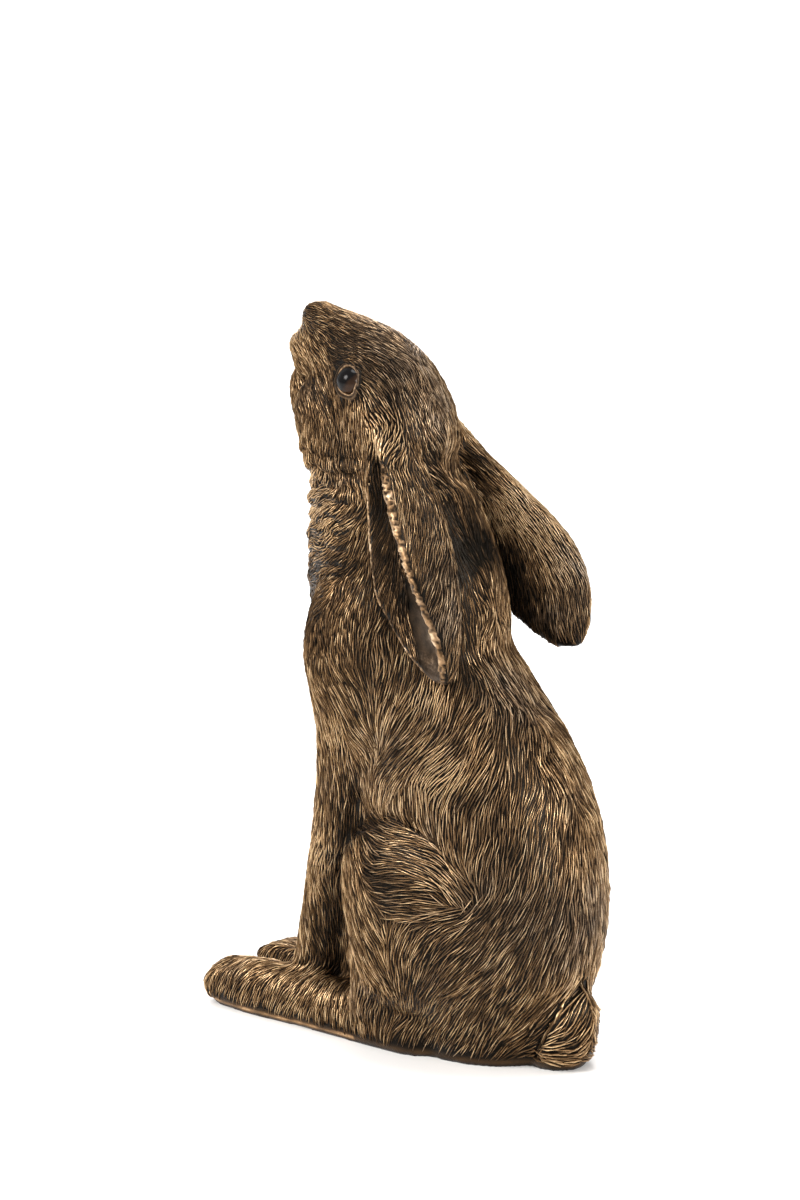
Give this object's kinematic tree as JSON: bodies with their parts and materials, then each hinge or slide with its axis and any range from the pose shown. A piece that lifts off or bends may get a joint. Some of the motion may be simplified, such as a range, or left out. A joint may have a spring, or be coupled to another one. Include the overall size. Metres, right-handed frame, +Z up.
{
  "type": "hare sculpture",
  "caption": "Upright seated hare with its nose raised to the sky, ears hanging back, short curled tail and long flat hind feet, in an aged bronze finish.",
  "frame": {"origin": "on the ground under the middle of the figure's outline seen from above", "axes": "+Z up, -Y the way the hare faces, +X its left side"},
  "size_m": [0.1046, 0.1996, 0.3002],
  "materials": {
    "aged_bronze": "cast resin with an aged bronze finish: dark brown in the hollows, rubbed gold on the ridges of the fur",
    "dark_glass": "polished, near black and opaque"
  },
  "bodies": {
    "root": {"hare_body": "aged_bronze", "left_eye": "dark_glass", "right_eye": "dark_glass"}
  },
  "joints": []
}
